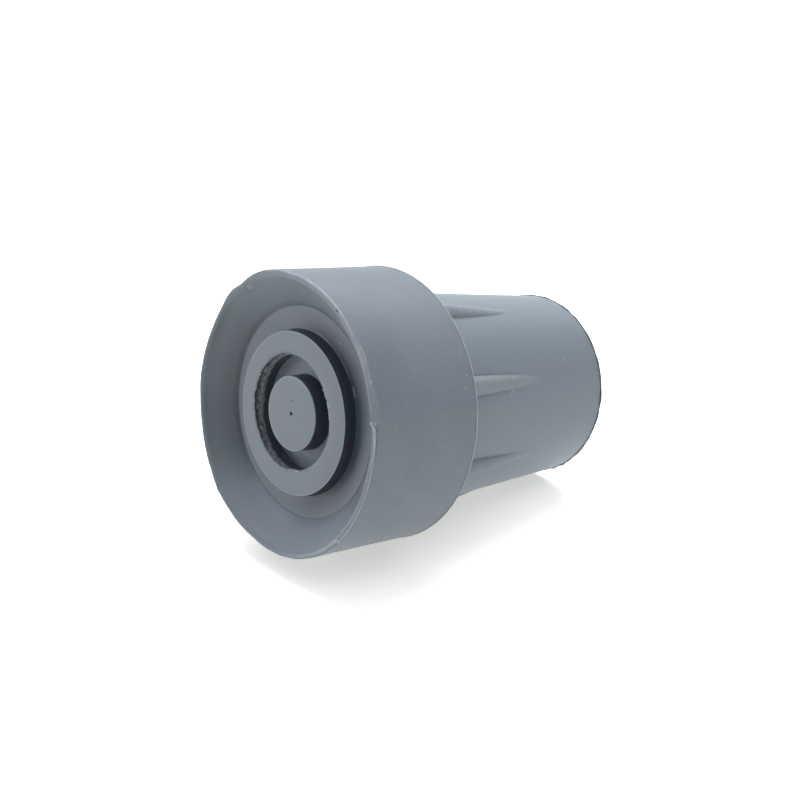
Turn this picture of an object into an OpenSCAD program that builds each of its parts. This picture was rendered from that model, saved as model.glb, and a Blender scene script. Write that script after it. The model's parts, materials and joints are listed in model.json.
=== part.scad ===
// Rubber tip for a walking cane or crutch, moulded in one piece.
// It stands on its tread, with the socket for the cane's tube opening upwards.

/* [Socket] */
// Outside diameter of the tube that the socket takes
tube_d = 22; // [16:0.5:32]
// Depth of the socket below the mouth
socket_depth = 38; // [20:1:44]
// Width of the lead-in chamfer round the mouth of the socket
lead_in = 0.8; // [0.2:0.1:1.6]

/* [Neck] */
// Height of the neck above the shoulder
neck_h = 34.4; // [28:0.2:50]
// Thickness of the wall at the mouth
mouth_wall = 3.7; // [3:0.1:5]
// Thickness of the wall at the foot of the neck
root_wall = 5.35; // [5.05:0.05:8]
// Radius of the rounded edge round the mouth
mouth_round = 0.4; // [0.1:0.1:1]
// Radius of the fillet between the neck and the shoulder
root_fillet = 1.2; // [0.4:0.1:2]

/* [Base] */
// Height of the base, from the rim of the tread to the shoulder
base_h = 18.6; // [12:0.2:30]
// Width of the shoulder ledge round the foot of the neck
ledge_w = 3.9; // [2.8:0.1:8]
// How much wider the shoulder is than the rim, on each side
flare = 0.25; // [0:0.05:1]
// Radius of the shoulder's edge
shoulder_round = 0.3; // [0.1:0.1:0.6]

/* [Tread] */
// Width of the rim, from its outside to the start of the funnel
rim_w = 0.8; // [0.7:0.1:2]
// Radius of the rim's outer edge
rim_round = 0.3; // [0.1:0.1:0.5]
// Radius that blends the rim into the funnel
lip_round = 0.5; // [0.2:0.1:1]
// Diameter of the disc in the middle
disc_d = 10.6; // [6:0.1:12]
// Width of the groove round the disc
groove_w = 3.0; // [1.5:0.1:4]
// Width of the ring round the groove
ring_w = 3.25; // [2:0.05:4.5]
// Draft of the ring's outside: how much wider its foot is than its face, on each side
ring_draft = 0.2; // [0:0.05:0.8]
// Width of the flat floor between the ring's foot and the funnel
floor_w = 3.25; // [1:0.05:4.5]
// How far the faces of the ring and the disc lie behind the rim
face_depth = 2.2; // [0.5:0.1:3.6]
// Depth of the flat floor behind the rim
floor_depth = 4.0; // [2.8:0.1:7]
// Depth of the groove's bottom behind the rim
groove_depth = 5.0; // [2.8:0.1:7]
// Radius of the edges of the ring and the disc
face_round = 0.15; // [0.05:0.05:0.4]

/* [Ribs] */
// Number of tapered ribs round the foot of the neck
rib_count = 8; // [3:1:14]
// Height above the shoulder at which a rib has run out into the neck
rib_h = 18.5; // [10:0.5:24]
// How far a rib stands out from the neck at the shoulder
rib_rise = 1.6; // [0.8:0.1:2.6]
// Radius of a rib's round back at the shoulder
rib_root_r = 1.6; // [1:0.1:2.2]
// Radius of a rib's round back where it runs out
rib_tip_r = 1.2; // [0.6:0.1:1.5]

/* [Hidden] */
$fn = 96;
socket_r = tube_d / 2;
neck_root_r = socket_r + root_wall;
neck_end_r = socket_r + mouth_wall;
shoulder_r = neck_root_r + ledge_w;
rim_r = shoulder_r - flare;
lip_r = rim_r - rim_w;
disc_r = disc_d / 2;
groove_r = disc_r + groove_w;
ring_r = groove_r + ring_w;
ring_foot_r = ring_r + ring_draft;
floor_r = ring_foot_r + floor_w;
total_h = base_h + neck_h;
// how far a cutter passes the face that it opens
cut = 1;
// how far a rib is buried at each of its ends, so that it is one with the body
rib_sink = 1.5;

function unit(v) = v / norm(v);

// Radius of the neck's outside at height z above the ground
function neck_r(z) = neck_root_r + (neck_end_r - neck_root_r) * (z - base_h) / neck_h;

// The sliver between the corner at p, whose sides run towards a and b, and an arc of
// radius r that is tangent to both sides. Taken away from a solid corner it rounds it,
// and added to a hollow corner it fills it. The sliver passes the corner by cut / 10.
module corner(a, p, b, r) {
    u = unit(a - p);
    v = unit(b - p);
    half_angle = acos(u * v) / 2;
    inward = unit(u + v);
    difference() {
        polygon([
            p + u * r / tan(half_angle),
            p - inward * cut / 10,
            p + v * r / tan(half_angle)
        ]);
        translate(p + inward * r / sin(half_angle)) circle(r);
    }
}

// Half section of the base, a drum that flares a little towards the shoulder
module base_section() {
    rim = [rim_r, 0];
    shoulder = [shoulder_r, base_h];
    difference() {
        polygon([[0, 0], rim, shoulder, [0, base_h]]);
        corner([0, 0], rim, shoulder, rim_round);
        corner(rim, shoulder, [0, base_h], shoulder_round);
    }
}

// Half section of the neck, a taper with a fillet at its foot and a rounded mouth
module neck_section() {
    root = [neck_root_r, base_h];
    mouth = [neck_end_r, total_h];
    difference() {
        polygon([[0, base_h - cut], [neck_root_r, base_h - cut], root, mouth, [0, total_h]]);
        corner(root, mouth, [0, total_h], mouth_round);
    }
    corner([shoulder_r, base_h], root, mouth, root_fillet);
}

// Half section of the hollow behind the rim: a funnel that runs down to a flat floor,
// without the island in its middle
module funnel_section() {
    lip = [lip_r, 0];
    foot = [floor_r, floor_depth];
    difference() {
        polygon([[0, -cut], [lip_r, -cut], lip, foot, [0, floor_depth]]);
        polygon([
            [0, face_depth],
            [ring_r, face_depth],
            [ring_foot_r, floor_depth],
            [ring_foot_r, floor_depth + cut],
            [0, floor_depth + cut]
        ]);
    }
    corner([rim_r, 0], lip, foot, lip_round);
}

// Half section of the deep groove that parts the island into a ring and a disc,
// with the rounded edges of both
module groove_section() {
    translate([disc_r, face_depth - cut]) square([groove_w, groove_depth - face_depth + cut]);
    corner([0, face_depth], [disc_r, face_depth], [disc_r, groove_depth], face_round);
    corner([ring_r, face_depth], [groove_r, face_depth], [groove_r, groove_depth], face_round);
    corner([groove_r, face_depth], [ring_r, face_depth], [ring_foot_r, floor_depth], face_round);
}

// One rib: a slim cone that leans in towards the neck as it rises, so that its back
// comes down to the neck's surface and runs out at the height rib_h
module rib() {
    foot = [neck_root_r + rib_rise - rib_root_r, base_h];
    tip = [neck_r(base_h + rib_h) - rib_tip_r, base_h + rib_h];
    run = norm(tip - foot);
    lean = atan2(foot.x - tip.x, rib_h);
    thinning = (rib_root_r - rib_tip_r) / run;
    translate([foot.x, 0, base_h])
        rotate([0, -lean, 0])
            translate([0, 0, -rib_sink])
                cylinder(
                    h = run + 2 * rib_sink,
                    r1 = rib_root_r + thinning * rib_sink,
                    r2 = rib_tip_r - thinning * rib_sink
                );
}

// The blind socket with its lead-in
module socket() {
    translate([0, 0, total_h - socket_depth])
        cylinder(h = socket_depth + cut, r = socket_r);
    translate([0, 0, total_h - lead_in])
        cylinder(h = lead_in + cut, r1 = socket_r, r2 = socket_r + lead_in + cut);
}

module tip_body() {
    color("slategray")
        difference() {
            union() {
                rotate_extrude() base_section();
                rotate_extrude() neck_section();
                for (turn = [0:rib_count - 1])
                    rotate(turn * 360 / rib_count) rib();
            }
            rotate_extrude() funnel_section();
            rotate_extrude() groove_section();
            socket();
        }
}

tip_body();
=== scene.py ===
"""A rubber cane tip, moulded in one piece, with the marks that moulding and trimming left."""

import json
import math

import bmesh
import bpy
from mathutils import Matrix, Vector, noise


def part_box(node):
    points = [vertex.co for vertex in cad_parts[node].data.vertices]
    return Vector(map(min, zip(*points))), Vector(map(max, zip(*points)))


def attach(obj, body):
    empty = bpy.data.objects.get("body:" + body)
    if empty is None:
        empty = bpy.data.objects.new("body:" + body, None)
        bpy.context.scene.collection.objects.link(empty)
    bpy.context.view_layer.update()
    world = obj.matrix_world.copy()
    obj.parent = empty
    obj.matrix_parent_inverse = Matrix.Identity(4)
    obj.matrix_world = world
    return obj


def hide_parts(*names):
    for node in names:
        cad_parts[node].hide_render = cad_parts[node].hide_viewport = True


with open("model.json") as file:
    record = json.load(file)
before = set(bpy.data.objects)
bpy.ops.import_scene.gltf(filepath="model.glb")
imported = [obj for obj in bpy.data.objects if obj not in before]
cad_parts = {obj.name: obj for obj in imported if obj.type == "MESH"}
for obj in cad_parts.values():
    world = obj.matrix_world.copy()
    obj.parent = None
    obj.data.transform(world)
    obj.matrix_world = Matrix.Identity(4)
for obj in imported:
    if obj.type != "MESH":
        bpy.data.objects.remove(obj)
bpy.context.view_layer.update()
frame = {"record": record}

bl_info = {
    "name": "Rubber cane tip",
    "version": (1, 0, 0),
    "blender": (4, 5, 0),
    "location": "3D View > Sidebar > Cane tip",
    "description": "Models a moulded rubber cane tip with a ringed tread and a ribbed neck",
    "category": "Object",
}

MM = 0.001
CAD_NODE = "tip_body"
# Columns of the mesh round the axis
COLUMNS = 400
# Where bearings are counted from, in degrees, just before the first rib
BEARING_START = -1.2
GROOVE_ROUND = 0.10 * MM
# Half the angle left of a rib that has run out, in radians
LEAST_RIB = 0.0006
# How near to a level face counts as on it
HAIR = 0.002 * MM

# Colours that only one part of the rubber takes
BLACK = (0.0, 0.0, 0.0)
COOL_SHADE = (0.0, 0.07, 0.16)
TAN = (0.33, 0.31, 0.26)
GREY_TEAR = (0.22, 0.245, 0.29)
PIN_BLACK = (0.004, 0.004, 0.005)

# Half the floor's length, its gap to the tip, and for the camera alone its glow and how much
# more light it throws back
FLOOR_HALF = 6.0
FLOOR_GAP = 0.00002
FLOOR_GLOW = 0.49
FLOOR_GAIN = 0.45
# Light that the white backdrop adds
BACKDROP_FILL = 0.04

tip_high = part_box(CAD_NODE)[1]
socket_mount = next(m for m in frame["record"]["mounts"] if m["name"] == "socket")
socket_floor = socket_mount["pos_m"][2] - socket_mount["dims"]["length_mm"] * MM / 2

# How far the rim is out of round, as angles and shifts outwards (mm).
RIM_OUTLINE = (
    (112, 0.02), (140, 0.0), (150, -0.06), (160, -0.16), (169, -0.29), (176, -0.18), (183, -0.08),
    (192, 0.0), (196, 0.04), (198.5, 0.20), (201, 0.06), (208, -0.12), (214, -0.18),
    (222, -0.37), (231, -0.47), (240, -0.52), (248, -0.36), (260, -0.46), (273, -0.60),
    (280, -0.52), (286, -0.40), (291, -0.12), (296, 0.0), (303, -0.28), (308, -0.12),
    (314, 0.04), (320, 0.08), (325, 0.02), (331, 0.06), (338, -0.10), (348, -0.05), (360, 0.0),
)
# How much narrower the flat of the rim is than its full width, as angles and widths (mm).
RIM_NARROWING = (
    (105, 0.0), (120, 0.10), (170, 0.30), (290, 0.30), (330, 0.10), (345, 0.0),
)
# The radius of the hole in the ring at its upper edge (mm), all the way round.
HOLE_OUTLINE = (
    (0, 8.28), (15, 8.16), (30, 8.04), (42, 8.04), (56, 8.20), (74, 8.34), (90, 8.18),
    (108, 8.04), (128, 7.94), (136, 7.94), (146, 7.76), (152, 7.80), (157, 8.12), (170, 8.22),
    (190, 8.38), (212, 8.24), (222, 8.44), (246, 8.55), (252, 8.68), (258, 8.50), (276, 8.58),
    (300, 8.46), (312, 8.46), (335, 8.32), (360, 8.28),
)
# Where the edge of the hole is torn: angles, and how deep the tear goes behind the face (mm).
TEAR_DEPTHS = (
    (120, 0.0), (128, 0.40), (145, 0.80), (160, 0.95), (200, 1.0), (225, 1.15), (245, 1.35),
    (270, 1.25), (290, 1.15), (310, 0.85), (330, 0.40), (342, 0.0),
)
# The facet that a knife left along the rim: angles, and how far it reaches in across the rim
# and up the side (mm).
TRIM_IN = ((13, 0.0), (18, 0.30), (29, 0.42), (36, 0.46), (42, 0.60), (54.6, 0.64), (56.2, 0.20))
TRIM_UP = (
    (13, 0.0), (20, 0.12), (26, 0.30), (31, 0.50), (36, 0.34), (40, 0.26), (44, 0.62),
    (54.6, 0.74), (56.2, 0.16),
)
# The fin of flash along the rim's outside past the facet, as angles.
FIN_FROM, FIN_TO = 56.0, 110.0


# Sizes and settings --------------------

def length_setting(name, description, default):
    """A length in metres, shown in the scene's units."""
    return bpy.props.FloatProperty(
        name=name, description=description, default=default,
        min=0.0, subtype="DISTANCE", unit="LENGTH", precision=5,
    )


def colour_setting(name, description, default):
    """A linear colour."""
    return bpy.props.FloatVectorProperty(
        name=name, description=description, default=default,
        size=3, min=0.0, max=1.0, subtype="COLOR",
    )


class TipSizes(bpy.types.PropertyGroup):
    """The sizes of the moulded tip."""

    height: length_setting("Height", "From the tread to the mouth", tip_high.z)
    base_height: length_setting("Base height", "From the tread to the shoulder", 0.0186)
    rim_radius: length_setting("Rim radius", "Outside radius of the rim", 0.020)
    shoulder_radius: length_setting("Shoulder radius", "Radius of the shoulder's edge", 0.020235)
    neck_foot_radius: length_setting("Neck foot radius", "Neck radius at the shoulder", 0.01635)
    neck_end_radius: length_setting("Neck end radius", "Neck radius at the mouth", 0.0147)
    socket_radius: length_setting(
        "Socket radius", "Radius of the tube's socket", socket_mount["dims"]["r_mm"] * MM
    )
    socket_floor: length_setting("Socket floor", "Height of the socket's floor", socket_floor)
    lead_in: length_setting("Lead-in", "Width of the chamfer round the mouth", 0.0008)
    rim_width: length_setting("Rim width", "From the rim's outside to the funnel", 0.0008)
    disc_radius: length_setting("Disc radius", "Radius of the disc in the tread", 0.0053)
    groove_width: length_setting("Groove width", "Width of the groove round the disc", 0.0030)
    ring_width: length_setting("Ring width", "Width of the ring round the groove", 0.00325)
    ring_draft: length_setting("Ring draft", "How much wider the ring's foot is", 0.0002)
    floor_width: length_setting("Floor width", "Width of the floor round the ring", 0.00325)
    face_depth: length_setting("Face depth", "How far the ring lies behind the rim", 0.0022)
    floor_depth: length_setting("Floor depth", "How far the floor lies behind the rim", 0.0040)
    groove_depth: length_setting("Groove depth", "Depth of the groove behind the rim", 0.0050)
    rib_count: bpy.props.IntProperty(
        name="Ribs", description="Number of ribs round the neck", default=8, min=3, max=14
    )
    rib_height: length_setting("Rib height", "Height at which a rib has run out", 0.0185)
    rib_rise: length_setting("Rib rise", "How far a rib stands out at its foot", 0.0016)
    rib_foot_radius: length_setting("Rib foot radius", "Radius of a rib's back below", 0.0016)
    rib_tip_radius: length_setting("Rib tip radius", "Radius of a rib's back above", 0.0012)


class RubberFinish(bpy.types.PropertyGroup):
    """The colours and the gloss of the rubber."""

    body: colour_setting("Rubber", "Colour of the moulded skin", (0.195, 0.236, 0.286))
    rib: colour_setting("Ribs", "Colour of the rough skin on the ribs", (0.274, 0.310, 0.346))
    # The worn colour also serves for painted highlights along the ring's foot, the rim's edge and
    # the edges of the ring and disc
    worn: colour_setting("Worn edges", "Colour of thin, stretched flash", (0.50, 0.56, 0.61))
    cut: colour_setting("Cut rubber", "Colour where a knife trimmed it", (0.330, 0.352, 0.405))
    # The colour of the painted shade on the deep walls, also used for the pits
    release: colour_setting("Mould release", "Colour of the deep walls", (0.03, 0.034, 0.045))
    torn: colour_setting("Torn rubber", "Colour inside a tear", (0.135, 0.150, 0.166))
    torn_light: colour_setting("Torn flecks", "Colour of flecks in a tear", (0.35, 0.37, 0.385))
    # The dust colour also serves as the painted highlight on the base's upper side
    dust: colour_setting("Dust", "Colour of the dust on the skin", (0.50, 0.55, 0.59))
    roughness: bpy.props.FloatProperty(
        name="Roughness", description="Roughness of the moulded skin",
        default=0.48, min=0.0, max=1.0, subtype="FACTOR",
    )


class StudioSettings(bpy.types.PropertyGroup):
    """The camera, the floor and the lights."""

    lens: bpy.props.FloatProperty(
        name="Lens", description="Focal length", default=52.01, min=10.0, unit="CAMERA"
    )
    camera_place: bpy.props.FloatVectorProperty(
        name="Camera", description="Where the camera stands",
        default=(0.08813, 0.09379, -0.09498), size=3, subtype="TRANSLATION", unit="LENGTH",
    )
    camera_target: bpy.props.FloatVectorProperty(
        name="Target", description="The point that the camera looks at",
        default=(0.02246, 0.02394, -0.00719), size=3, subtype="TRANSLATION", unit="LENGTH",
    )
    lying_angle: bpy.props.FloatProperty(
        name="Lying angle", description="The side of the tip that touches the floor",
        default=math.radians(157.45), subtype="ANGLE", unit="ROTATION",
    )
    light: bpy.props.FloatProperty(
        name="Light", description="Strength of all the lamps together", default=1.0, min=0.0
    )
    floor: colour_setting("Floor", "Colour of the floor", (0.86, 0.86, 0.845))


# Small helpers -------------------------

def ease(low, high, value):
    """0 below low, 1 above high and a smooth rise between."""
    share = min(1.0, max(0.0, (value - low) / (high - low)))
    return share * share * (3 - 2 * share)


def turn_between(a, b):
    """The angle between two directions, in degrees, from 0 to 180."""
    return abs((a - b + 180) % 360 - 180)


def swell(angle, centre, spread):
    """1 at the centre, falling smoothly to 0 at spread degrees to each side."""
    away = turn_between(angle, centre) / spread
    return 0.0 if away >= 1 else 0.5 + 0.5 * math.cos(math.pi * away)


def bearing(angle):
    """An angle in radians about the axis as the bearing in degrees that places the marks."""
    return (math.degrees(angle) - BEARING_START) % 360


def along(marks, angle):
    """The value at an angle on a line through marks of (angle, value), 0 past its ends."""
    for (a, low), (b, high) in zip(marks, marks[1:]):
        if a <= angle <= b:
            return low + (high - low) * (angle - a) / (b - a)
    return 0.0


def grain(x, y, z, size, seed=0.0):
    """Smooth noise from about -1 to 1 with features of the given size, in millimetres."""
    return noise.noise(Vector((x / size + seed, y / size - seed, z / size + seed)))


def times(share, parts):
    """A colour or a place with each of its parts multiplied by a number."""
    return tuple(share * part for part in parts)


def across(radius, angle):
    """The place that noise is read at, across the axis and in millimetres."""
    return radius * math.cos(angle) / MM, radius * math.sin(angle) / MM


def at_bearing(radius, turn, height):
    """A place in millimetres from its radius, bearing and height."""
    angle = math.radians(turn + BEARING_START)
    return (radius * math.cos(angle), radius * math.sin(angle), height)


def standing(place, x, y, z):
    """The matrix of something at a place, with its axes along three directions."""
    return Matrix.Translation(place) @ Matrix((x, y, z)).transposed().to_4x4()


def stand_for(piece, material):
    """Gives a finished piece its material and its body."""
    piece.data.materials.append(material)
    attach(piece, "root")


def to_object(name, shape, sharp_angle):
    """Turns a bmesh into an object at the origin, smooth but for its sharp edges."""
    mesh = bpy.data.meshes.new(name)
    shape.to_mesh(mesh)
    shape.free()
    mesh.shade_smooth()
    mesh.set_sharp_from_angle(angle=math.radians(sharp_angle))
    piece = bpy.data.objects.new(name, mesh)
    bpy.context.scene.collection.objects.link(piece)
    return piece


# The moulded body ----------------------

def tread_radii(s):
    """The radii of the groove's outer wall, the ring's face, its foot, the floor's end and the
    lip of the rim."""
    groove = s.disc_radius + s.groove_width
    ring = groove + s.ring_width
    ring_foot = ring + s.ring_draft
    return groove, ring, ring_foot, ring_foot + s.floor_width, s.rim_radius - s.rim_width


def section_corners(s):
    """The corners of the half section as (radius, height, rounding), from the middle of the
    disc outwards, up the outside and down the socket."""
    groove, ring, ring_foot, floor_end, lip = tread_radii(s)
    shoulder, base, face = s.shoulder_radius, s.base_height, s.face_depth
    mouth, top = s.neck_end_radius, s.height
    return (
        (0.0, face + 0.66 * MM, 0.0),
        (0.16 * MM, face + 0.62 * MM, 0.0),
        (0.19 * MM, face, 0.0),
        (s.disc_radius, face, 0.13 * MM),
        (s.disc_radius + 0.04 * MM, s.groove_depth, GROOVE_ROUND),
        (groove, s.groove_depth, GROOVE_ROUND),
        (groove, face, GROOVE_ROUND),
        (ring, face, 0.07 * MM),
        (ring_foot, s.floor_depth, 0.05 * MM),
        (floor_end, s.floor_depth, 0.12 * MM),
        (lip, 0.0, 0.50 * MM),
        (s.rim_radius, 0.0, 0.24 * MM),
        (s.rim_radius + 0.01 * MM, 1.3 * MM, 0.0),
        (shoulder - 0.09 * MM, base - 0.34 * MM, 0.0),
        (shoulder, base - 0.25 * MM, 0.0),
        (shoulder, base - 0.12 * MM, 0.0),
        (shoulder - 0.14 * MM, base, 0.0),
        (s.neck_foot_radius, base, 1.20 * MM),
        (mouth, top - 0.22 * MM, 0.0),
        (mouth + 0.02 * MM, top - 0.14 * MM, 0.0),
        (mouth, top - 0.03 * MM, 0.0),
        (mouth - 0.14 * MM, top, 0.0),
        (s.socket_radius + s.lead_in, top, 0.0),
        (s.socket_radius, top - s.lead_in, 0.0),
        (s.socket_radius, s.socket_floor, 0.20 * MM),
        (0.0, s.socket_floor, 0.0),
    )


def row_spacing(s, radius, height):
    """How far apart the rows of the mesh lie at a place in the section."""
    groove = tread_radii(s)[0]
    if radius < s.socket_radius + s.lead_in and height > s.groove_depth + 1 * MM:
        return 12 * MM
    if height > s.base_height + 1 * MM:
        return 0.5 * MM if height < s.base_height + s.rib_height else 1.8 * MM
    if height > s.base_height - 0.05 * MM:
        return 0.5 * MM
    if radius > s.rim_radius - 1.25 * MM and height < 1.5 * MM:
        return 0.12 * MM
    if radius > s.rim_radius - 0.3 * MM:
        return 1.6 * MM
    if abs(radius - groove) < 0.2 * MM and s.face_depth < height < s.groove_depth:
        return 0.11 * MM
    if radius < s.disc_radius - 0.1 * MM:
        return 1.3 * MM
    return 0.6 * MM


def turn_section(s):
    """Draws the half section with rounded corners and evenly divided edges, and turns it
    round the axis into a closed shape."""
    shape = bmesh.new()
    corners = section_corners(s)
    points = [shape.verts.new((radius, 0.0, height)) for radius, height, _ in corners]
    for pair in zip(points, points[1:]):
        shape.edges.new(pair)
    for point, (_, _, rounding) in zip(points, corners):
        if rounding <= 0:
            continue
        before, after = (edge.other_vert(point).co - point.co for edge in point.link_edges)
        half_angle = before.angle(after) / 2
        bmesh.ops.bevel(
            shape, geom=[point], offset=rounding / math.tan(half_angle),
            offset_type="OFFSET", affect="VERTICES", profile=0.5, material=-1,
            segments=4 if rounding < 0.3 * MM else 7,
        )
    for edge in list(shape.edges):
        middle = (edge.verts[0].co + edge.verts[1].co) / 2
        cuts = math.ceil(edge.calc_length() / row_spacing(s, middle.x, middle.z)) - 1
        if cuts > 0:
            bmesh.ops.subdivide_edges(shape, edges=[edge], cuts=cuts)
    bmesh.ops.spin(
        shape, geom=list(shape.verts) + list(shape.edges), cent=(0, 0, 0), axis=(0, 0, 1),
        dvec=(0, 0, 0), angle=math.tau, steps=COLUMNS, use_merge=True, use_duplicate=False,
    )
    bmesh.ops.remove_doubles(shape, verts=shape.verts, dist=0.001 * MM)
    bmesh.ops.recalc_face_normals(shape, faces=shape.faces)
    return shape


class RibForm:
    """The ribs: slim cones that lean in as they rise and run out into the neck."""

    def __init__(self, s):
        self.s = s
        self.pitch = math.tau / s.rib_count
        self.foot_x = s.neck_foot_radius + s.rib_rise - s.rib_foot_radius
        self.tip_x = self.neck_radius(s.base_height + s.rib_height) - s.rib_tip_radius
        self.foot_half = self.half_width(s.base_height)

    def neck_radius(self, z):
        s = self.s
        share = (z - s.base_height) / (s.height - s.base_height)
        return s.neck_foot_radius + (s.neck_end_radius - s.neck_foot_radius) * share

    def circle(self, z):
        """Centre and radius of a rib's back at a height."""
        s = self.s
        share = min(1.0, max(0.0, (z - s.base_height) / s.rib_height))
        centre = self.foot_x + (self.tip_x - self.foot_x) * share
        radius = s.rib_foot_radius + (s.rib_tip_radius - s.rib_foot_radius) * share
        return centre, radius

    def half_width(self, z):
        """Half the angle that a rib takes on the neck at a height."""
        centre, radius = self.circle(z)
        neck = self.neck_radius(z)
        cosine = (neck * neck + centre * centre - radius * radius) / (2 * neck * centre)
        return math.acos(min(1.0, max(-1.0, cosine)))

    def surface(self, off, z):
        """Distance of a rib's back from the axis, off radians beside its middle."""
        centre, radius = self.circle(z)
        reach = radius * radius - (centre * math.sin(off)) ** 2
        return centre * math.cos(off) + math.sqrt(reach) if reach > 0 else 0.0

    def warp(self, angle, z):
        """Moves the columns of the mesh sideways so that one of them follows each side of a
        rib. Returns the new angle, how far it lies beside the rib's middle and how far the
        rib's side does."""
        s = self.s
        middle = round(angle / self.pitch) * self.pitch
        off = angle - middle
        run_out = s.base_height + s.rib_height
        if z < run_out:
            goal = max(self.half_width(max(z, s.base_height)), LEAST_RIB)
        else:
            goal = LEAST_RIB + (self.foot_half - LEAST_RIB) * ease(run_out, s.height, z)
        column = math.tau / COLUMNS
        start = round(self.foot_half / column) * column
        side = abs(off)
        if side <= start:
            side = side * goal / start
        else:
            side = goal + (side - start) * (self.pitch / 2 - goal) / (self.pitch / 2 - start)
        off = math.copysign(side, off)
        return middle + off, side, goal


def shape_neck(s, ribs, radius, angle, z):
    """Raises the ribs out of the neck and off the shoulder's ledge, and leaves ragged flash
    round the mouth. Returns the place and how much of it is rib and crease."""
    angle, side, goal = ribs.warp(angle, z)
    inner = ribs.surface(side, max(z, s.base_height))
    run_out = s.base_height + s.rib_height
    ledge_start = s.neck_foot_radius + 1.15 * MM
    on_rib = crease = 0.0
    if z < s.base_height + HAIR:
        inside = max(ledge_start, inner)
        outside = s.shoulder_radius - 0.2 * MM
        if ledge_start <= radius < outside:
            radius = outside - (outside - radius) * (outside - inside) / (outside - ledge_start)
    elif z < run_out:
        if inner > radius:
            on_rib = ease(0.0, 0.45 * MM, inner - radius)
            radius = inner
        past = (side - goal) * radius / MM
        crease = max(0.0, 1 - abs(past) / 0.32) * (1 - ease(run_out - 8 * MM, run_out, z))
    if z > s.height - 0.2 * MM and radius > s.neck_end_radius - 0.2 * MM:
        turn = bearing(angle)
        x, y = across(radius, angle)
        ragged = 0.12 + 0.10 * grain(x, y, 0, 1.5, 4.0) + 0.05 * grain(x, y, 0, 0.5, 2.0)
        ragged += 0.14 * swell(turn, 119, 3) + 0.12 * swell(turn, 127, 2)
        radius += max(0.02, ragged) * MM
    return radius, angle, on_rib, crease


def narrow_rim(s, radius, angle):
    """Widens the funnel at the cost of the flat of the rim."""
    start, lip = tread_radii(s)[3:]
    foot = s.rim_radius - 0.26 * MM
    narrowing = along(RIM_NARROWING, bearing(angle)) * MM
    if start < radius <= lip:
        return radius + narrowing * (radius - start) / (lip - start)
    if lip < radius < foot:
        return radius + narrowing * (foot - radius) / (foot - lip)
    return radius


def press_rim(radius, angle, z):
    """Presses the rim a little out of round."""
    turn = bearing(angle)
    weight = ease(18.2 * MM, 19.6 * MM, radius) * (1 - ease(0.5 * MM, 7 * MM, z))
    x, y = across(radius, angle)
    waver = 0.035 * grain(x, y, 0, 2.6, 3.0) + 0.02 * grain(x, y, 0, 0.9, 9.0)
    radius += weight * (along(RIM_OUTLINE, turn) + waver) * MM
    z += weight * (1 - ease(0, 0.6 * MM, z)) * max(0.0, 0.05 * grain(x, y, 0, 1.7, 5.0)) * MM
    return radius, z


def rim_edge_shade(s, radius, angle, z):
    """How much of a place takes the painted shade along the edge of the rim's untrimmed half,
    where its rounding turns away.
    """
    turn = bearing(angle)
    side = ease(146, 161, turn) * (1 - ease(316, 332, turn))
    inward = (s.rim_radius - radius) / MM
    gentle = 0.45 * (1 - ease(0.35, 1.1, inward))
    return side * max(gentle, 1 - ease(0.20, 0.40, inward)) * (1 - ease(0.5 * MM, 1.0 * MM, z))


def trim_rim(s, radius, angle, z):
    """Cuts the knife's facet. Returns the new place, how much of it is cut and how much of it
    is one of the pale lines along the facet's edges."""
    turn = bearing(angle)
    reach_in, reach_up = along(TRIM_IN, turn) * MM, along(TRIM_UP, turn) * MM
    if reach_up <= 0 or z > 2 * MM:
        return radius, z, 0.0, 0.0
    x, y = across(radius, angle)
    reach_up += 0.12 * grain(x, y, 0, 1.6, 1.0) * min(reach_up, MM)
    reach_in += 0.10 * grain(x, y, 0, 1.2, 7.0) * min(reach_in, MM)
    inner = Vector((s.rim_radius - reach_in, 0.0))
    outer = Vector((s.rim_radius + 0.02 * MM, reach_up))
    edge = (outer - inner).normalized()
    out = Vector((edge.y, -edge.x))
    place = Vector((radius, z)) - inner
    past, run, length = place.dot(out), place.dot(edge), (outer - inner).length
    late = ease(30, 38, turn)
    lines = (1 - 0.8 * late) * swell(run, 0.06 * MM, 0.17 * MM)
    lines += (0.9 - 0.5 * late) * swell(run, length + 0.03 * MM, 0.24 * MM)
    lines *= ease(13, 17, turn) * (0.8 + 0.7 * grain(x, y, 0, 1.1, 3.0))
    if past <= 0:
        return radius, z, 0.0, lines * (1 - ease(0.0, 0.08 * MM, -past))
    rough = 0.03 * grain(x, y, z / MM, 0.5, 2.0) * MM
    cut = ease(0.0, 0.05 * MM, past) * (1 - 0.4 * late)
    radius, z = radius - out.x * (past + rough), z - out.y * (past + rough)
    return radius, z, cut, lines


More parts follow.
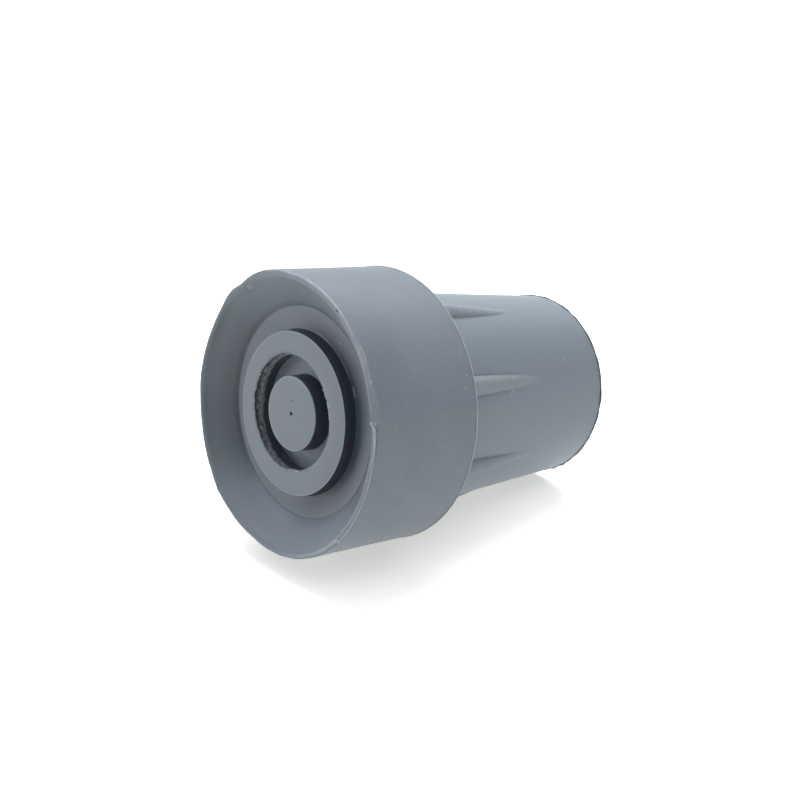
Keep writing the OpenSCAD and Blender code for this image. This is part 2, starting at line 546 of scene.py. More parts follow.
def raise_fin(s, radius, angle, z):
    """Sinks the rim behind a thin fin of flash that runs along its outside. Returns the new height
    and how much of the place is flash, and past the fin's ends how much is painted highlight along
    the rim's edge."""
    turn = bearing(angle)
    inward = (s.rim_radius - radius) / MM
    on_top = 1 - ease(0.08 * MM, 0.22 * MM, z)
    past_end = max(FIN_FROM - turn, turn - FIN_TO)
    if past_end > 0 or z > 1.2 * MM or inward > 1.5:
        # Past the fin's ends: painted highlights along the rim's edge, on the upper side towards
        # bearing 350 and the lower side towards bearing 119
        upper = swell(turn, 350, 46) * swell(inward, 0.10, 0.28)
        lower = 0.75 * swell(turn, 119, 36) * swell(inward, 0.41, 0.32)
        return z, min(1.0, 1.7 * upper + lower) * on_top
    under_curl = ease(0, 1.0, -past_end) * (1 - ease(67, 74, turn)) * (1 - ease(0.9, 1.4, inward))
    z += 0.30 * MM * under_curl * (1 - ease(0, 1.1 * MM, z))
    ends = ease(0, 1.2, -past_end) * (1 - under_curl)
    waver = 0.05 * grain(turn, 0, 0, 3.0, 2.0)
    gap = ease(0.20, 0.28, inward + waver) * (1 - ease(0.46, 0.60, inward + waver))
    land = ease(0.46, 0.6, inward) * (1 - ease(1.0, 1.3, inward))
    deep = 0.12 + 0.10 * ease(88, 102, turn)
    if inward < 0.24:
        z *= 1 - 0.9 * ends * (1 - ease(0.24 * MM, 0.9 * MM, z))
    z += ends * (gap * deep + land * 0.06) * MM
    uneven = 0.9 + 0.8 * grain(turn, inward * 2, 0, 1.5, 6.0)
    fin = 0.85 - 0.35 * swell(turn, 80, 20) + 0.2 * ease(98, 108, turn)
    fin *= (1 - ease(0.16, 0.26, inward)) * on_top
    lip = 0.40 - 0.32 * swell(turn, 82, 16) + 0.40 * ease(92, 104, turn)
    lip *= swell(inward, 0.64 - 0.09 * ease(86, 98, turn), 0.16)
    return z, min(1.0, ends * (fin + lip) * uneven)


def shape_hole(s, radius, angle, z):
    """Draws the edge of the hole in the ring out of round, and tears it. Returns the place,
    how much of it is torn and how deep in the tear it lies."""
    turn = bearing(angle)
    groove, ring = tread_radii(s)[:2]
    tear = along(TEAR_DEPTHS, turn) * MM
    torn = ease(0, 0.2 * MM, tear)
    x, y = across(radius, angle)
    ragged = 0.02 * grain(x, y, 0, 0.9, 4.0) + torn * 0.10 * grain(x, y, 0, 0.45, 8.0)
    ragged += torn * 0.08 * grain(x, y, 0, 1.1, 5.0)
    ragged += 0.36 * swell(turn, 46, 42) * grain(x, y, 0, 0.42, 3.0)
    edge = (along(HOLE_OUTLINE, turn) + ragged) * MM
    foot = groove - 0.10 * MM
    down = z - s.face_depth
    if down < HAIR:
        start, end = groove + GROOVE_ROUND, ring - 0.2 * MM
        if radius < end:
            inside = edge + GROOVE_ROUND * (1 - 0.7 * torn)
            radius = end - (end - radius) * (end - inside) / (end - start)
        return radius, z, torn * (1 - ease(0.0, 0.10 * MM, radius - edge)) * 0.6, 0.0
    own = radius - groove if down < GROOVE_ROUND else 0.0
    own *= 1 - 0.7 * torn
    clean = down / (s.groove_depth - s.face_depth)
    depth = max(tear, 0.2 * MM) * (1 + 0.25 * grain(x, y, 0, 0.8, 3.0))
    ripped = ease(0.06 * MM, depth, down)
    share = clean + (ripped - clean) * torn
    radius = edge + own + (foot - edge) * share
    within = torn * ease(0, 0.08 * MM, down) * (1 - ease(0.85 * depth, 1.1 * depth, down))
    lumps = 0.12 * grain(x, y, z / MM, 0.38, 6.0) + 0.12 * grain(x, y, z / MM, 0.9, 1.0)
    radius += within * lumps * MM
    z += within * 0.10 * grain(x, y, z / MM, 0.33, 2.0) * MM
    return radius, z, torn * (1 - ease(0.9 * depth, 1.2 * depth, down)), min(1.0, down / depth)


def shape_body(s, shape):
    """Gives the turned shape its ribs, its uneven rim and its torn hole, and marks them."""
    marks = {name: shape.verts.layers.float.new(name)
             for name in ("rib", "crease", "torn", "tear_depth", "trimmed", "flash", "rim_edge_shade")}
    ribs = RibForm(s)
    groove, ring, _, floor_end, _ = tread_radii(s)
    for vert in shape.verts:
        radius = math.hypot(vert.co.x, vert.co.y)
        angle = math.atan2(vert.co.y, vert.co.x)
        z = vert.co.z
        outside = radius > s.socket_radius + s.lead_in + 0.5 * MM
        if outside and z > s.base_height - HAIR:
            radius, angle, rib, crease = shape_neck(s, ribs, radius, angle, z)
            vert[marks["rib"]], vert[marks["crease"]] = rib, crease
        elif outside and radius > floor_end + 0.2 * MM and z < 8 * MM:
            radius = narrow_rim(s, radius, angle)
            vert[marks["rim_edge_shade"]] = rim_edge_shade(s, radius, angle, z)
            z, flash = raise_fin(s, radius, angle, z)
            radius, z, vert[marks["trimmed"]], lines = trim_rim(s, radius, angle, z)
            vert[marks["flash"]] = max(flash, lines)
            radius, z = press_rim(radius, angle, z)
        elif groove - 0.12 * MM < radius < ring - 0.1 * MM and z < s.groove_depth - 0.05 * MM:
            radius, z, torn, deep = shape_hole(s, radius, angle, z)
            vert[marks["torn"]], vert[marks["tear_depth"]] = torn, deep
        radius, z = min(radius, s.shoulder_radius), min(max(z, 0.0), s.height)
        vert.co = (radius * math.cos(angle), radius * math.sin(angle), z)
    return shape


class CANETIP_OT_mould_body(bpy.types.Operator):
    """Model the moulded rubber body, with its ribs, tread and socket"""

    bl_idname = "canetip.mould_body"
    bl_label = "Mould the body"

    def execute(self, context):
        sizes = context.scene.tip_sizes
        shape = shape_body(sizes, turn_section(sizes))
        bmesh.ops.recalc_face_normals(shape, faces=shape.faces)
        body = to_object("cane_tip_body", shape, 38)
        stand_for(body, rubber_material(context.scene.rubber_finish))
        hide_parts(CAD_NODE)
        return {"FINISHED"}


def sweep(shape, stations):
    """Sweeps a small round section along stations of (place, radius) and closes its ends."""
    places = [Vector(place) for place, _ in stations]
    before = ring = None
    for index, (place, (_, radius)) in enumerate(zip(places, stations)):
        ahead = places[min(index + 1, len(places) - 1)] - places[max(index - 1, 0)]
        side = ahead.cross((0, 0, 1)).normalized()
        pose = standing(place, side, ahead.cross(side).normalized(), ahead.normalized())
        pose = pose @ Matrix.Scale(radius, 4)
        if before is None:
            made = bmesh.ops.create_circle(shape, segments=8, radius=1.0, matrix=pose)
            ring = made["verts"]
            bmesh.ops.contextual_create(shape, geom=ring)
        else:
            edges = [e for e in shape.edges if e.verts[0] in ring and e.verts[1] in ring]
            made = bmesh.ops.extrude_edge_only(shape, edges=edges)
            ring = [v for v in made["geom"] if isinstance(v, bmesh.types.BMVert)]
            bmesh.ops.transform(shape, matrix=pose @ before.inverted(), verts=ring)
        before = pose
    bmesh.ops.contextual_create(shape, geom=ring)
    bmesh.ops.recalc_face_normals(shape, faces=shape.faces)
    return shape


def round_the_axis(marks):
    """Turns stations of (angle, radius, height, thickness) in degrees and millimetres into
    places and radii for a sweep, three to every given step."""
    fine = []
    for low, high in zip(marks, marks[1:]):
        for share in (0, 1 / 3, 2 / 3):
            fine.append([p + (q - p) * share for p, q in zip(low, high)])
    fine.append(marks[-1])
    return [(times(MM, at_bearing(radius, angle, height)), thickness * MM)
            for angle, radius, height, thickness in fine]


# The hook of flash at the end of the facet: angle, radius, height and thickness (mm).
CURL = (
    (55.3, 18.93, 0.17, 0.10), (55.6, 19.08, 0.18, 0.15), (56.0, 19.27, 0.19, 0.18),
    (56.6, 19.46, 0.19, 0.18), (57.4, 19.62, 0.19, 0.18), (58.6, 19.75, 0.18, 0.17),
    (60.6, 19.82, 0.16, 0.14), (63.5, 19.84, 0.14, 0.10), (67.0, 19.84, 0.11, 0.06),
    (70.0, 19.84, 0.09, 0.03),
)
# Pale specks of dust on the rubber: radius, bearing, height, size (mm) and strength.
SPECKS = (
    (20.2, 41.9, 17.2, 0.22, 0.8), (20.2, 47.0, 16.6, 0.30, 0.25), (20.2, 79.5, 16.2, 0.26, 0.3),
    (15.11, 36.4, 44.4, 0.26, 0.35), (15.45, 91.9, 37.3, 0.26, 0.35), (13.2, 8.1, 4.0, 0.26, 0.22),
    (12.95, 5.0, 4.0, 0.20, 0.12), (20.0, 40.3, 0.25, 0.26, 0.6), (18.6, 306.7, 0.5, 0.60, 0.22),
    (20.0, 109.8, 0.1, 0.32, 0.8), (19.6, 110.6, 0.0, 0.28, 0.6),
    (8.15, 36.3, 2.25, 0.15, 0.4), (8.2, 41.6, 2.25, 0.18, 0.5), (8.3, 46.5, 2.25, 0.20, 0.6),
    (8.35, 54.0, 2.25, 0.18, 0.5), (8.1, 141.8, 2.25, 0.22, 0.6), (8.0, 153.4, 2.3, 0.18, 0.5),
    (8.6, 273.3, 2.25, 0.16, 0.5),
)
# Thin pale scratches: the place of each end (radius, bearing, height), width and strength.
SCRATCHES = (
    ((20.24, 29.8, 17.76), (20.22, 35.8, 16.57), 0.13, 0.32),
    ((15.8, 53.7, 30.47), (15.8, 51.3, 30.55), 0.13, 0.40),
    ((15.8, 51.3, 30.55), (15.8, 50.5, 30.97), 0.13, 0.45),
    ((15.8, 50.5, 30.97), (15.78, 51.2, 31.52), 0.12, 0.30),
    ((12.0, 36.9, 4.0), (12.05, 42.1, 4.0), 0.22, 0.35),
    ((8.2, 186.0, 4.3), (8.2, 174.0, 4.6), 0.14, 0.30),
    ((8.2, 174.0, 4.6), (8.2, 161.0, 4.85), 0.14, 0.35),
)
# Small dark pits: radius, bearing, height and size (mm).
PITS = ((19.62, 9.2, 0.0, 0.34), (15.97, 90.5, 26.6, 0.30), (1.86, 333.0, 2.2, 0.22))


class CANETIP_OT_trim_flash(bpy.types.Operator):
    """Model the loose flash that the trimming knife left on the rim"""

    bl_idname = "canetip.trim_flash"
    bl_label = "Leave the flash"

    def execute(self, context):
        curl = to_object("rim_flash_curl", sweep(bmesh.new(), round_the_axis(CURL)), 60)
        stand_for(curl, flash_material(context.scene.rubber_finish))
        return {"FINISHED"}


# Materials -----------------------------

class Flow:
    """A number, a colour or a vector in a node tree, for writing shader maths in Python."""

    def __init__(self, paint, socket):
        self.paint = paint
        self.socket = socket

    def math(self, operation, *others, clamp=False):
        values = {place: value for place, value in enumerate((self,) + others)}
        settings = {"operation": operation, "use_clamp": clamp}
        return self.paint.node("Math", settings, values).out(0)

    def __add__(self, other):
        return self.math("ADD", other)

    __radd__ = __add__

    def __sub__(self, other):
        return self.math("SUBTRACT", other)

    def __rsub__(self, other):
        return (self * -1).math("ADD", other)

    def __mul__(self, other):
        return self.math("MULTIPLY", other)

    __rmul__ = __mul__

    def __truediv__(self, other):
        return self.math("DIVIDE", other)

    def rise(self, low, high):
        """0 below low, 1 above high, with a smooth rise between."""
        settings = {"interpolation_type": "SMOOTHSTEP"}
        values = {"Value": self, "From Min": low, "From Max": high}
        return self.paint.node("MapRange", settings, values).out("Result")

    def near(self, centre, reach):
        """1 at the centre, falling smoothly to 0 at reach to each side."""
        return 1 - (self - centre).math("ABSOLUTE").rise(0, reach)


class Step:
    """One node that was made, whose outputs are read by name or number."""

    def __init__(self, paint, node):
        self.paint = paint
        self.node = node

    def out(self, name):
        return Flow(self.paint, self.node.outputs[name])


class Paint:
    """The node tree of a material or a world."""

    def __init__(self, owner):
        owner.use_nodes = True
        self.owner = owner
        self.tree = owner.node_tree
        self.tree.nodes.clear()

    def node(self, kind, settings=None, values=None):
        """Makes a node, sets what it does first, and then fills or links its sockets."""
        node = self.tree.nodes.new("ShaderNode" + kind)
        for name, value in (settings or {}).items():
            setattr(node, name, value)
        for name, value in (values or {}).items():
            if isinstance(value, Flow):
                self.tree.links.new(value.socket, node.inputs[name])
            else:
                node.inputs[name].default_value = value
        return Step(self, node)

    def mix(self, share, low, high):
        """Mixes two colours."""
        def colour(value):
            return value if isinstance(value, Flow) else (*value[:3], 1.0)

        settings = {"data_type": "RGBA", "clamp_factor": True}
        values = {0: share, 6: colour(low), 7: colour(high)}
        return self.node("Mix", settings, values).out(2)

    def shade(self, tone, colour):
        """A colour made darker, or up to twice as light, by a tone."""
        return self.mix(tone * 0.5, BLACK, times(2, colour))

    def noise(self, vector, scale, detail=2.0, rough=0.5):
        """Noise from about 0 to 1, with scale features to each unit of the vector."""
        values = {"Vector": vector, "Scale": scale, "Detail": detail, "Roughness": rough}
        return self.node("TexNoise", {}, values).out("Fac")

    def vector(self, operation, values):
        """A sum worked out with vectors."""
        return self.node("VectorMath", {"operation": operation}, values)

    def mark(self, name):
        """A mark that the modelling left on the mesh."""
        return self.node("Attribute", {"attribute_name": name}).out("Fac")

    def close(self, kind, shader):
        """Joins a shader to an output of the given kind, and returns the material or world."""
        self.node(kind, {}, {"Surface": shader})
        return self.owner


class RubberPaint(Paint):
    """The tree of the moulded rubber, in layers painted one over the other, in millimetres."""

    def __init__(self, finish):
        super().__init__(bpy.data.materials.new("grey rubber"))
        self.finish = finish
        place = {0: self.node("TexCoord").out("Object"), "Scale": 1.0 / MM}
        self.place = self.vector("SCALE", place).out(0)
        parts = self.node("SeparateXYZ", {}, {0: self.place})
        self.x, self.y, self.z = parts.out("X"), parts.out("Y"), parts.out("Z")
        self.radius = (self.x * self.x + self.y * self.y).math("SQRT")
        self.mottle = self.noise(self.place, 1.1, 4.0, 0.6)
        self.flecks = self.noise(self.place, 3.2, 3.0, 0.7)
        self.rib, self.torn = self.mark("rib"), self.mark("torn")
        self.trimmed = self.mark("trimmed")

    def over(self, share, tint):
        """Paints a share of a colour over what is there."""
        self.colour = self.mix(share, self.colour, tint)

    def facing(self, turn, low, high):
        """1 towards a bearing, from 0 where the cosine of the angle to it is low."""
        turn = math.radians(turn + BEARING_START)
        cosine = (self.x * math.cos(turn) + self.y * math.sin(turn)) / self.radius
        return cosine.rise(low, high)

    def spot(self, centre, reach):
        """1 at a radius, bearing and height, falling to 0 at reach from there."""
        away = self.vector("DISTANCE", {0: self.place, 1: at_bearing(*centre)})
        return 1 - away.out("Value").rise(reach * 0.5, reach)

    def scratch(self, start, end, width):
        """1 on a line between two places, falling to 0 at width from it."""
        start = Vector(at_bearing(*start))
        run = Vector(at_bearing(*end)) - start
        gone = self.vector("SUBTRACT", {0: self.place, 1: start}).out(0)
        share = self.vector("DOT_PRODUCT", {0: gone, 1: run}).out("Value")
        share = share.math("MULTIPLY", 1 / run.length_squared, clamp=True)
        nearest = self.vector("SCALE", {0: run, "Scale": share}).out(0)
        away = self.vector("DISTANCE", {0: gone, 1: nearest}).out("Value")
        return 1 - away.rise(width * 0.4, width)

    def skin(self):
        """The clouded skin, a shade lighter on the neck, with a painted highlight on the base's
        upper side and painted light on the neck's upper and lower sides.
        """
        z, body = self.z, self.finish.body
        cloud = self.noise(self.place, 0.16, 3.0)
        patches = (cloud * 0.5 + self.mottle * 0.5).rise(0.3, 0.7)
        self.colour = self.mix(patches, times(0.93, body), times(1.07, body))
        # Painted highlight: the dust colour laid over the base's upper side, towards bearing 24
        painted_base_highlight = self.facing(24, 0.88, 1.0) * z.rise(3, 10) * 0.10
        self.over(painted_base_highlight, self.finish.dust)
        # Painted light on the neck: lighter towards bearing 345, the side that faces up as it
        # lies, and towards bearing 135, the side facing the floor, more so near the mouth
        above = self.facing(345, 0.78, 0.96) * 0.14
        below = self.facing(135, 0.62, 0.92) * (0.06 + z.rise(30, 44) * 0.24)
        tone = above + below + 1.18 + (self.mottle - 0.5) * 0.16
        self.over(z.rise(18.55, 18.7), self.shade(tone, body))

    def hollow(self):
        """Painted shade and light over the hollow of the tread: darker overall, and uneven from
        side to side.
        """
        z, radius, facing = self.z, self.radius, self.facing
        # Painted shade: the whole hollow takes the skin colour darkened by a tone below 1
        inside = z.rise(0.1, 0.5) * (1 - z.rise(4.2, 4.4)) * radius.rise(11.62, 11.66)
        inside = inside * (1 - radius.rise(19.0, 19.2))
        # Painted light towards bearing 154 and painted shade towards bearing 238
        painted_light_side = facing(154, 0.45, 0.85)
        shaded = facing(238, 0.2, 0.95)
        # Painted shadow of the ring on the floor beside its foot, tinted cool
        corner_shadow = facing(64, -0.3, 0.4) * (1 - radius.rise(12.5, 15.6))
        foot = 1 - radius.rise(15.0, 18.8)
        slope = radius.rise(15.0, 15.1)
        # More painted shade towards bearings 68, 38, 94 and 82 and at the funnel's root, and
        # painted light at its foot towards bearing 173
        near_side = facing(68, 0.66, 0.96)
        root = (1 - radius.rise(15.2, 15.9)) * (1 - painted_light_side)
        tone = 0.74 + slope * (painted_light_side * 0.28 - shaded * (0.08 + foot * 0.25) + (1 - foot) * 0.04)
        tone = tone - corner_shadow * 0.42 - slope * (near_side * 0.14 + root * 0.17)
        right = facing(38, 0.90, 0.99)
        tone = tone - right * (slope * 0.10 + radius.near(13.7, 1.3) * 0.08)
        low_foot = facing(173, 0.90, 0.99) * (1 - radius.rise(15.4, 17.0))
        tone = tone + slope * low_foot * 0.24
        near_foot = facing(94, 0.88, 0.98) * (1 - radius.rise(12.2, 13.4))
        tone = tone - near_foot * 0.13
        near_lip = facing(82, 0.93, 0.99) * radius.rise(17.2, 18.4)
        tone = tone - near_lip * 0.11
        hollow = self.mix(corner_shadow * 0.12, self.shade(tone, self.finish.body), COOL_SHADE)
        self.over(inside, hollow)

    def faces(self):
        """The faces of the ring and the disc, a little darker than the skin, with painted shade
        towards bearing 55.
        """
        faces = self.z.near(2.2, 0.1) * (1 - self.radius.rise(11.6, 11.62))
        self.over(faces, times(0.91, self.finish.body))
        # Painted shade on the ring's face towards bearing 55
        shade = self.facing(55, 0.2, 0.9) * self.radius.rise(8, 10.5) * 0.10
        self.over(faces * shade, BLACK)

    def walls(self):
        """Painted shade on the upright walls of the groove and the ring, and a painted highlight
        along the ring's foot.
        """
        z, radius = self.z, self.radius
        walls = radius.near(5.33, 0.35) * z.rise(2.3, 2.5) * (1 - z.rise(4.85, 4.98))
        walls = walls + radius.near(8.25, 0.6) * z.rise(2.35, 2.6) * (1 - z.rise(4.8, 4.98))
        walls = walls + radius.rise(11.5, 11.53) * (1 - radius.rise(11.75, 11.8)) \
            * z.rise(2.22, 2.28) * (1 - z.rise(3.95, 4.0))
        # Painted shade: the deep walls darkened towards the dark wall colour
        self.over(walls.math("MINIMUM", 1.0) * 0.9, self.finish.release)
        # Painted highlight along the foot of the ring's outer wall, on the side towards bearing 8
        foot_highlight = radius.near(11.90, 0.17) * z.near(3.95, 0.2) * self.facing(8, 0.90, 0.96)
        self.over(foot_highlight * 0.4, self.finish.worn)

    def ribs(self):
        """The rough, speckled skin of the ribs, with a painted highlight on their upper side and
        painted shade in the creases beside them.
        """
        speckle = self.noise(self.place, 1.4, 4.0, 0.7).rise(0.34, 0.66)
        # Painted highlight on the ribs' upper side, towards bearing 340, which also draws in more
        # of the tan
        painted_rib_highlight = self.facing(340, 0.80, 0.95) * 0.22
        rough_skin = self.shade(painted_rib_highlight + 0.92 + speckle * 0.10, self.finish.rib)
        tan = self.facing(66, 0.90, 1.0) * 0.25 + painted_rib_highlight * 0.9
        rough_skin = self.mix(tan * speckle, rough_skin, TAN)
        self.over(self.rib * (0.40 + speckle * 0.45), rough_skin)
        # Painted shade in the creases beside the ribs
        self.over(self.mark("crease") * 0.40, times(0.45, self.finish.body))

    def edges(self):
        """Pale lines where the skin is thin or cut, and painted highlights and painted shade along
        edges and creases.
        """
        z, radius = self.z, self.radius
        body, worn, cut = self.finish.body, self.finish.worn, self.finish.cut
        broken = self.noise(self.place, 0.55, 3.0, 0.65).rise(0.30, 0.62)
        turn = self.y.math("ARCTAN2", self.x)
        lengthwise = {0: radius * 2.4, 1: z * 2.4, 2: turn * 7.0}
        lengthwise = self.node("CombineXYZ", {}, lengthwise).out(0)
        streaks = self.noise(lengthwise, 1.0, 3.0, 0.65).rise(0.34, 0.64)
        # Painted shade along the edge of the rim's untrimmed half
        self.over(self.mark("rim_edge_shade") * 0.7, times(0.45, body))
        shoulder = radius.rise(20.16, 20.21) * z.near(18.42, 0.33)
        self.over(shoulder * (0.62 + 0.38 * broken), worn)
        cut = self.mix(streaks, times(0.74, cut), times(1.08, cut))
        self.over(self.trimmed * 0.95, cut)
        # The flash mark holds real flash and, past the fin's ends, painted highlights along the
        # rim's edge
        flash = self.mark("flash") * (0.5 + 0.3 * broken + 0.3 * streaks)
        self.over(flash, worn)
        # Painted shade round the outer edge of the mouth
        mouth = z.rise(52.70, 52.80) * radius.rise(14.3, 14.4)
        self.over(mouth * 0.8, times(0.35, body))
        # Painted shade in the crease between the funnel and the floor
        crease_shade = radius.near(14.98, 0.17) * z.near(3.95, 0.3)
        self.over(crease_shade * 0.75, times(0.35, body))
        # Pale lines on the edges of the disc and the ring: partly wear, partly painted highlight
        edge_wear_and_highlight = radius.near(5.18, 0.16) + radius.near(11.46, 0.12)
        self.over(edge_wear_and_highlight * z.near(2.2, 0.15) * 0.35, worn)

    def tear(self):
        """The brown, flecked inside of a tear, with painted shadow along its outer edge."""
        torn, deep = self.finish.torn, self.mark("tear_depth")
        chunks = self.noise(self.place, 1.3, 2.0, 0.5)
        bend = self.node("TexNoise", {}, {"Vector": self.place, "Scale": 1.1}).out(1)
        bent = self.vector("ADD", {0: self.place, 1: bend})
        cells = {"Vector": bent.out(0), "Scale": 0.85, "Randomness": 1.0}
        cells = self.node("TexVoronoi", {"feature": "DISTANCE_TO_EDGE"}, cells)
        gaps = (1 - cells.out("Distance").rise(0.02, 0.14)) * chunks.rise(0.40, 0.60)
        tear = self.mix(chunks.rise(0.42, 0.58), times(0.55, torn), times(1.6, torn))
        tear = self.mix(deep.rise(0.45, 0.70) * 0.7, tear, times(1.9, torn))
        tear = self.mix(self.flecks.rise(0.54, 0.68), tear, self.finish.torn_light)
        tear = self.mix(gaps * 0.8, tear, times(0.2, torn))
        # Painted shadow along the tear's outer edge, stronger towards bearing 248
        far_side = self.facing(248, 0.35, 0.8)
        dark = 1 - (deep + (chunks - 0.5) * 0.8).rise(0.18, 0.44)
        tear = self.mix(dark * (0.30 + 0.6 * far_side), tear, times(0.25, torn))
        lower_side = self.facing(168, 0.70, 0.96)
        tear = self.mix(lower_side * (0.45 + 0.4 * chunks.rise(0.4, 0.6)), tear, GREY_TEAR)
        self.over(self.torn, tear)

    def wear(self):
        """Dust, scratches and pits."""
        for *speck, size, strength in SPECKS:
            self.over(self.spot(speck, size) * strength, self.finish.dust)
        for start, end, width, strength in SCRATCHES:
            line = self.scratch(start, end, width)
            self.over(line * strength, self.finish.dust)
        for *pit, size in PITS:
            self.over(self.spot(pit, size) * 0.8, self.finish.release)


def rubber_material(finish):
    """Matt blue-grey rubber, with a rougher skin on the ribs and inside the tears."""
    paint = RubberPaint(finish)
    z, radius, mottle, rib = paint.z, paint.radius, paint.mottle, paint.rib
    for layer in (paint.skin, paint.hollow, paint.faces, paint.walls, paint.ribs, paint.edges,
                  paint.tear, paint.wear):
        layer()
    # Painted shade: near black inside the pin hole
    pin = (1 - radius.rise(0.20, 0.34)) * z.rise(2.1, 2.15) * (1 - z.rise(4.5, 4.6))
    paint.over(pin, PIN_BLACK)
    rough = finish.roughness + (mottle - 0.5) * 0.12 + rib * 0.08 + paint.torn * 0.25 + pin * 0.4
    fine = paint.noise(paint.place, 6.0, 2.0)
    height = fine * 0.35 + mottle * 0.5 + (rib + paint.trimmed) * paint.flecks * 0.8
    bump = {"Strength": 0.35, "Distance": 0.00006, "Height": height}
    bump = paint.node("Bump", {}, bump).out("Normal")
    look = {"Base Color": paint.colour, "Roughness": rough, "Normal": bump, "IOR": 1.5}
    shader = paint.node("BsdfPrincipled", {}, look).out("BSDF")
    return paint.close("OutputMaterial", shader)


def flash_material(finish):
    """Thin, stretched rubber that has gone pale."""
    paint = Paint(bpy.data.materials.new("pale flash"))
    place = paint.node("TexCoord").out("Object")
    tone = paint.noise(place, 1400.0, 3.0, 0.6).rise(0.3, 0.7)
    colour = paint.mix(tone, times(0.8, finish.worn), times(0.95, finish.worn))
    look = {"Base Color": colour, "Roughness": finish.roughness + 0.1, "IOR": 1.5}
    shader = paint.node("BsdfPrincipled", {}, look).out("BSDF")
    return paint.close("OutputMaterial", shader)


def floor_material(settings):
    """A pale floor that can be looked through from behind. It shows white to the camera where
    no shadow falls, and looks white in mirrors."""
    paint = Paint(bpy.data.materials.new("pale floor"))
    rays = paint.node("LightPath")
    mirrored = rays.out("Is Glossy Ray").math("MAXIMUM", rays.out("Is Transmission Ray"))
    glow = rays.out("Is Camera Ray") * FLOOR_GLOW + mirrored
    floor = paint.shade(1 + rays.out("Is Camera Ray") * FLOOR_GAIN, settings.floor)
    matt = paint.node("BsdfDiffuse", {}, {"Color": floor}).out(0)
    light = {"Color": (1.0, 1.0, 0.945, 1.0), "Strength": glow}
    light = paint.node("Emission", {}, light).out(0)
    front = paint.node("AddShader", {}, {0: matt, 1: light}).out(0)
    clear = paint.node("BsdfTransparent").out(0)
    behind = paint.node("NewGeometry").out("Backfacing")
    shader = paint.node("MixShader", {}, {0: behind, 1: front, 2: clear}).out(0)
    return paint.close("OutputMaterial", shader)


# The stage -----------------------------

def lying_frame(sizes, settings):
    """The point and the directions of the floor that the tip lies on: a point of contact,
    the floor's normal and the direction along the floor towards the mouth."""
    run = Vector((
        sizes.neck_end_radius - sizes.shoulder_radius, 0.0, sizes.height - sizes.base_height
    )).normalized()
    up = Vector((-run.z, 0.0, run.x))
    turn = Matrix.Rotation(settings.lying_angle, 3, "Z")
    contact = turn @ Vector((sizes.shoulder_radius, 0.0, sizes.base_height))
    return contact, turn @ up, turn @ run


def soft_light(name, towards, spread, strength):
    """A large, soft, distant lamp in the given direction, spread degrees across."""
    lamp = bpy.data.lights.new(name, "SUN")
    lamp.energy = strength * math.pi
    lamp.angle = math.radians(spread)
    light = bpy.data.objects.new(name, lamp)
    light.location = towards * 0.5
    light.rotation_euler = towards.to_track_quat("Z", "Y").to_euler()
    bpy.context.scene.collection.objects.link(light)


def studio_world():
    """A backdrop that looks white and mirrors white, and adds only a little light."""
    paint = Paint(bpy.data.worlds.new("white backdrop"))
    rays = paint.node("LightPath")
    seen = rays.out("Is Camera Ray").math("MAXIMUM", rays.out("Is Glossy Ray"))
    seen = seen.math("MAXIMUM", rays.out("Is Transmission Ray"))
    white = {"Color": (1.0, 1.0, 1.0, 1.0)}
    fill = {**white, "Strength": BACKDROP_FILL}
    fill = paint.node("Background", {}, fill).out(0)
    full = paint.node("Background", {}, white).out(0)
    shader = paint.node("MixShader", {}, {0: seen, 1: fill, 2: full}).out(0)
    return paint.close("OutputWorld", shader)


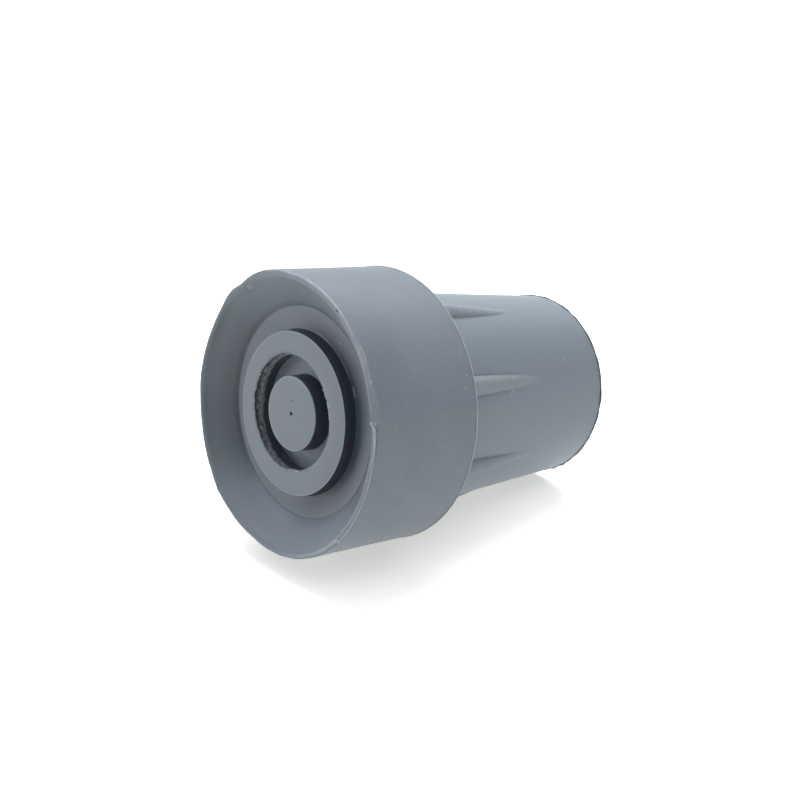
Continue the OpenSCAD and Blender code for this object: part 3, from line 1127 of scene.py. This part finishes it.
class CANETIP_OT_stage(bpy.types.Operator):
    """Set up the floor, the soft lights and the camera"""

    bl_idname = "canetip.stage"
    bl_label = "Set the stage"

    def execute(self, context):
        scene = context.scene
        settings = scene.studio
        contact, up, run = lying_frame(scene.tip_sizes, settings)

        shape = bmesh.new()
        bmesh.ops.create_grid(shape, x_segments=1, y_segments=1, size=FLOOR_HALF)
        floor = to_object("floor", shape, 30)
        floor.data.transform(standing(contact - up * FLOOR_GAP, run, up.cross(run), up))
        floor.data.materials.append(floor_material(settings))

        place, target = Vector(settings.camera_place), Vector(settings.camera_target)
        ahead = (target - place).normalized()
        right = ahead.cross(up).normalized()
        lens = bpy.data.cameras.new("camera")
        lens.lens = settings.lens
        lens.sensor_width = 36.0
        lens.clip_start, lens.clip_end = 0.01, 20.0
        camera = bpy.data.objects.new("camera", lens)
        camera.matrix_world = standing(place, right, right.cross(ahead), -ahead)
        scene.collection.objects.link(camera)
        scene.camera = camera

        back = up.cross(right).normalized()
        strength = settings.light
        soft_light("overhead", up, 95, 0.44 * strength)
        soft_light("back", back * 0.50 + up * 0.866, 60, 0.58 * strength)
        soft_light("right", right * 0.82 + up * 0.57, 50, 0.04 * strength)
        soft_light("left", -right * 0.978 + up * 0.208, 24, 0.23 * strength)
        scene.world = studio_world()
        scene.view_settings.view_transform = "Standard"
        return {"FINISHED"}


class CANETIP_PT_sidebar(bpy.types.Panel):
    """Sizes, finish and steps of the cane tip"""

    bl_label = "Cane tip"
    bl_idname = "CANETIP_PT_sidebar"
    bl_space_type = "VIEW_3D"
    bl_region_type = "UI"
    bl_category = "Cane tip"

    def draw(self, context):
        layout = self.layout
        for group in (context.scene.tip_sizes, context.scene.rubber_finish, context.scene.studio):
            box = layout.box()
            for name in group.bl_rna.properties.keys():
                if name not in ("rna_type", "name"):
                    box.prop(group, name)
        for step in STEPS_IN_ORDER:
            layout.operator(step)


STEPS_IN_ORDER = ("canetip.mould_body", "canetip.trim_flash", "canetip.stage")
CLASSES = (
    TipSizes,
    RubberFinish,
    StudioSettings,
    CANETIP_OT_mould_body,
    CANETIP_OT_trim_flash,
    CANETIP_OT_stage,
    CANETIP_PT_sidebar,
)


def register():
    for item in CLASSES:
        bpy.utils.register_class(item)
    bpy.types.Scene.tip_sizes = bpy.props.PointerProperty(type=TipSizes)
    bpy.types.Scene.rubber_finish = bpy.props.PointerProperty(type=RubberFinish)
    bpy.types.Scene.studio = bpy.props.PointerProperty(type=StudioSettings)


def unregister():
    del bpy.types.Scene.tip_sizes
    del bpy.types.Scene.rubber_finish
    del bpy.types.Scene.studio
    for item in reversed(CLASSES):
        bpy.utils.unregister_class(item)


def main():
    register()
    bpy.ops.canetip.mould_body()
    bpy.ops.canetip.trim_flash()
    bpy.ops.canetip.stage()


if __name__ == "__main__":
    main()
